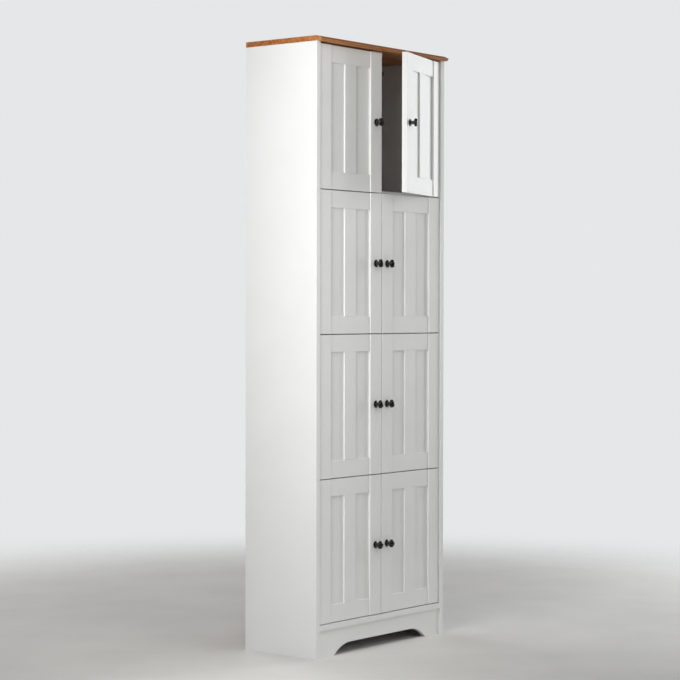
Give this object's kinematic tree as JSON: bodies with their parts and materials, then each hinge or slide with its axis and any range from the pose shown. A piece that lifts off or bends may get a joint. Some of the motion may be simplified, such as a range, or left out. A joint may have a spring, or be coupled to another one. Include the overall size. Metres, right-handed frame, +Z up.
{
  "type": "pantry cabinet",
  "caption": "Tall narrow cabinet with tiers of paired inset doors, mushroom knobs, fixed shelves, a moulded wood-grain top and an arched toe apron.",
  "frame": {"origin": "mid-width, on the floor, in the plane of the back that stands against the wall (rear bottom edge of the base rail)", "axes": "+Z up, +Y towards the wall, +X to the right as one faces the doors"},
  "size_m": [0.64, 0.3715, 1.829],
  "materials": {
    "white_board": "satin white melamine on particle board",
    "white_door": "satin white foil on MDF",
    "wood_grain_top": "satin honey wood grain",
    "back_sheet": "hardboard, white inside and raw brown behind",
    "hinge_steel": "nickel-plated pressed steel",
    "zinc_plated_steel": "zinc plated",
    "cast_zinc": "as cast zinc alloy",
    "beech_dowel": "fluted beech",
    "catch_plastic": "moulded white plastic",
    "magnet": "ferrite",
    "black_knob": "satin black"
  },
  "bodies": {
    "carcass": {"left_side": "white_board", "right_side": "white_board", "top_panel": "wood_grain_top", "bottom_panel": "white_board", "shelf_upper": "white_board", "shelf_middle": "white_board", "shelf_lower": "white_board", "back_panel_upper": "back_sheet", "back_panel_lower": "back_sheet", "toe_apron": "white_board", "rear_base_rail": "white_board", "hinge_arms": "hinge_steel", "fixing_screws": "zinc_plated_steel", "cam_locks": "cast_zinc", "cam_bolts": "zinc_plated_steel", "dowels": "beech_dowel", "back_nails": "zinc_plated_steel", "catch_cases": "catch_plastic", "catch_magnets": "magnet", "wall_brackets": "hinge_steel"},
    "door_bottom_left": {"door_bottom_left_panel": "white_door", "door_bottom_left_frame": "white_door", "door_bottom_left_hinges": "hinge_steel", "door_bottom_left_knob": "black_knob", "door_bottom_left_strike": "hinge_steel"},
    "door_bottom_right": {"door_bottom_right_panel": "white_door", "door_bottom_right_frame": "white_door", "door_bottom_right_hinges": "hinge_steel", "door_bottom_right_knob": "black_knob", "door_bottom_right_strike": "hinge_steel"},
    "door_lower_left": {"door_lower_left_panel": "white_door", "door_lower_left_frame": "white_door", "door_lower_left_hinges": "hinge_steel", "door_lower_left_knob": "black_knob", "door_lower_left_strike": "hinge_steel"},
    "door_lower_right": {"door_lower_right_panel": "white_door", "door_lower_right_frame": "white_door", "door_lower_right_hinges": "hinge_steel", "door_lower_right_knob": "black_knob", "door_lower_right_strike": "hinge_steel"},
    "door_upper_left": {"door_upper_left_panel": "white_door", "door_upper_left_frame": "white_door", "door_upper_left_hinges": "hinge_steel", "door_upper_left_knob": "black_knob", "door_upper_left_strike": "hinge_steel"},
    "door_upper_right": {"door_upper_right_panel": "white_door", "door_upper_right_frame": "white_door", "door_upper_right_hinges": "hinge_steel", "door_upper_right_knob": "black_knob", "door_upper_right_strike": "hinge_steel"},
    "door_top_left": {"door_top_left_panel": "white_door", "door_top_left_frame": "white_door", "door_top_left_hinges": "hinge_steel", "door_top_left_knob": "black_knob", "door_top_left_strike": "hinge_steel"},
    "door_top_right": {"door_top_right_panel": "white_door", "door_top_right_frame": "white_door", "door_top_right_hinges": "hinge_steel", "door_top_right_knob": "black_knob", "door_top_right_strike": "hinge_steel"}
  },
  "joints": [
    {"name": "door_bottom_left_hinge", "type": "hinge", "parent": "carcass", "child": "door_bottom_left", "pos_m": [-0.2955, -0.266, 0.31238], "axis": [0, 0, -1], "range_deg": [0, 100]},
    {"name": "door_bottom_right_hinge", "type": "hinge", "parent": "carcass", "child": "door_bottom_right", "pos_m": [0.2955, -0.266, 0.31238], "axis": [0, 0, 1], "range_deg": [0, 100]},
    {"name": "door_lower_left_hinge", "type": "hinge", "parent": "carcass", "child": "door_lower_left", "pos_m": [-0.2955, -0.266, 0.74013], "axis": [0, 0, -1], "range_deg": [0, 100]},
    {"name": "door_lower_right_hinge", "type": "hinge", "parent": "carcass", "child": "door_lower_right", "pos_m": [0.2955, -0.266, 0.74013], "axis": [0, 0, 1], "range_deg": [0, 100]},
    {"name": "door_upper_left_hinge", "type": "hinge", "parent": "carcass", "child": "door_upper_left", "pos_m": [-0.2955, -0.266, 1.16787], "axis": [0, 0, -1], "range_deg": [0, 100]},
    {"name": "door_upper_right_hinge", "type": "hinge", "parent": "carcass", "child": "door_upper_right", "pos_m": [0.2955, -0.266, 1.16787], "axis": [0, 0, 1], "range_deg": [0, 100]},
    {"name": "door_top_left_hinge", "type": "hinge", "parent": "carcass", "child": "door_top_left", "pos_m": [-0.2955, -0.266, 1.59563], "axis": [0, 0, -1], "range_deg": [0, 100]},
    {"name": "door_top_right_hinge", "type": "hinge", "parent": "carcass", "child": "door_top_right", "pos_m": [0.2955, -0.266, 1.59563], "axis": [0, 0, 1], "range_deg": [-16.5, 83.5]}
  ]
}
